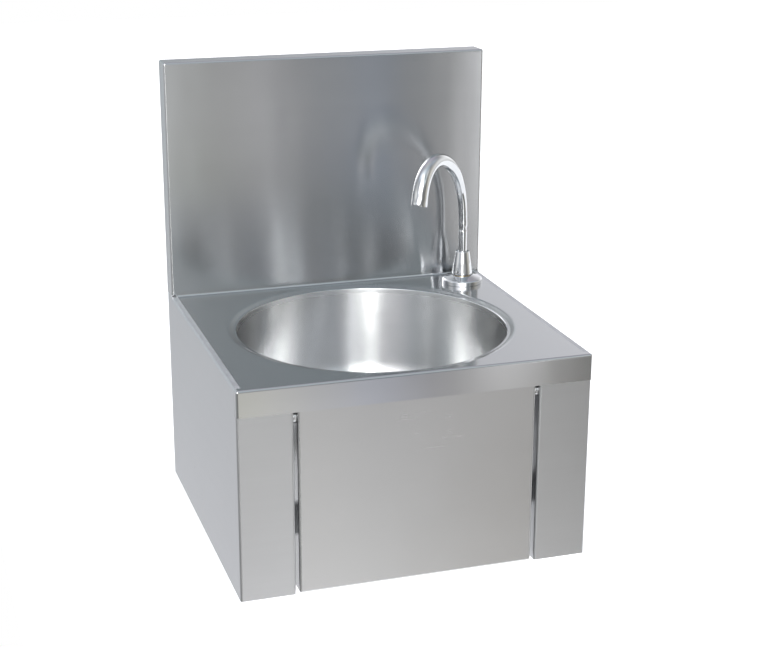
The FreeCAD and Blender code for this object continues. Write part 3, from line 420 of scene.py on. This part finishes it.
def soft(az, el, wide, high, rgb):
    """A soft light at a heading, in degrees: azimuth 0 is straight out in front, positive to the right."""
    a = wt.math("DIVIDE", wt.math("WRAP", wt.math("SUBTRACT", az_in, math.radians(az)), math.pi, -math.pi), math.radians(wide))
    e = wt.math("DIVIDE", wt.math("SUBTRACT", el_in, math.radians(el)), math.radians(high))
    q = wt.math("ADD", wt.math("MULTIPLY", a, a), wt.math("MULTIPLY", e, e))
    return wt.vec("SCALE", rgb, scale=wt.math("EXPONENT", wt.math("MULTIPLY", q, -0.5)))


total = wt.comb(0.25, 0.25, 0.24)
for az, el, wide, high, rgb in (
    # a tall narrow box beside the camera and wider ones either side of it
    (-16, 24, 6.5, 8, (11.0, 11.1, 11.0)),
    (-16, 6, 5, 7, (9.5, 9.4, 9.2)),
    (-16, 40, 6, 8, (5.0, 5.0, 4.8)),
    (-1, 22, 5, 11, (3.4, 3.4, 3.4)),
    (-32, 22, 7, 14, (2.4, 2.35, 2.4)),
    (-46, 24, 8, 14, (1.5, 1.5, 1.55)),
    (-45, 55, 30, 10, (1.3, 1.3, 1.3)),
    # light cards and the ceiling
    (27.5, 22, 3.6, 7.5, (0.5, 0.5, 0.5)),
    (18, 30, 9, 8, (0.18, 0.32, 0.39)),
    (36, 38, 10, 9, (0.62, 0.62, 0.60)),
    (18, 50, 9, 6, (0.18, 0.17, 0.20)),
    (0, 65, 60, 12, (0.31, 0.42, 0.51)),
    (180, 60, 60, 14, (0.32, 0.29, 0.40)),
    (0, 90, 1000, 14, (0.50, 0.50, 0.50)),
    (17, 23, 8, 2.5, (0.55, 0.55, 0.55)),
    # walls of the room, left, right and behind
    (-62, 5, 12, 20, (0.08, 0.12, 0.16)),
    (-82, 7, 13, 15, (1.0, 1.0, 1.0)),
    (-84, 44, 16, 10, (0.22, 0.30, 0.42)),
    (-138, 12, 20, 15, (0.95, 1.02, 1.10)),
    (-150, -28, 30, 14, (0.51, 0.51, 0.55)),
    (180, 8, 16, 18, (0.08, 0.13, 0.15)),
    (148, 8, 14, 18, (0.79, 0.78, 0.84)),
    (148, -28, 16, 12, (0.38, 0.38, 0.39)),
    (98, 7, 18, 15, (0.92, 0.92, 0.92)),
    (127, 12, 11, 13, (0.75, 0.75, 0.75)),
    (84, 44, 16, 10, (0.20, 0.25, 0.30)),
    (66, 7, 11, 17, (0.55, 0.51, 0.42)),
    # the floor in front of the sink
    (17, -29, 2.6, 4, (1.49, 1.50, 1.43)),
    (11.5, -29, 2.6, 4, (0.78, 0.71, 0.84)),
    (23.5, -29, 2.6, 4, (0.54, 0.46, 0.36)),
    (11.5, -21, 2.6, 4, (0.27, 0.28, 0.12)),
    (17, -21, 2.6, 4, (0.16, 0.15, 0.23)),
    # upright strips, which the splashback shows as soft bands
    (8.5, -8, 1.6, 14, (0.79, 0.81, 0.83)),
    (13.5, -8, 0.9, 14, (0.37, 0.36, 0.39)),
    (17.6, -8, 0.8, 14, (0.10, 0.15, 0.24)),
    (22.5, -11, 0.9, 5, (2.65, 2.65, 2.7)),
):
    total = wt.vec("ADD", total, soft(az, el, wide, high, rgb))
lp = wt.node("ShaderNodeLightPath")
wt.put(bg.inputs["Color"], wt.colour(lp.outputs["Is Camera Ray"], total, (1.0, 1.0, 1.0)))
bg.inputs["Strength"].default_value = 1.0
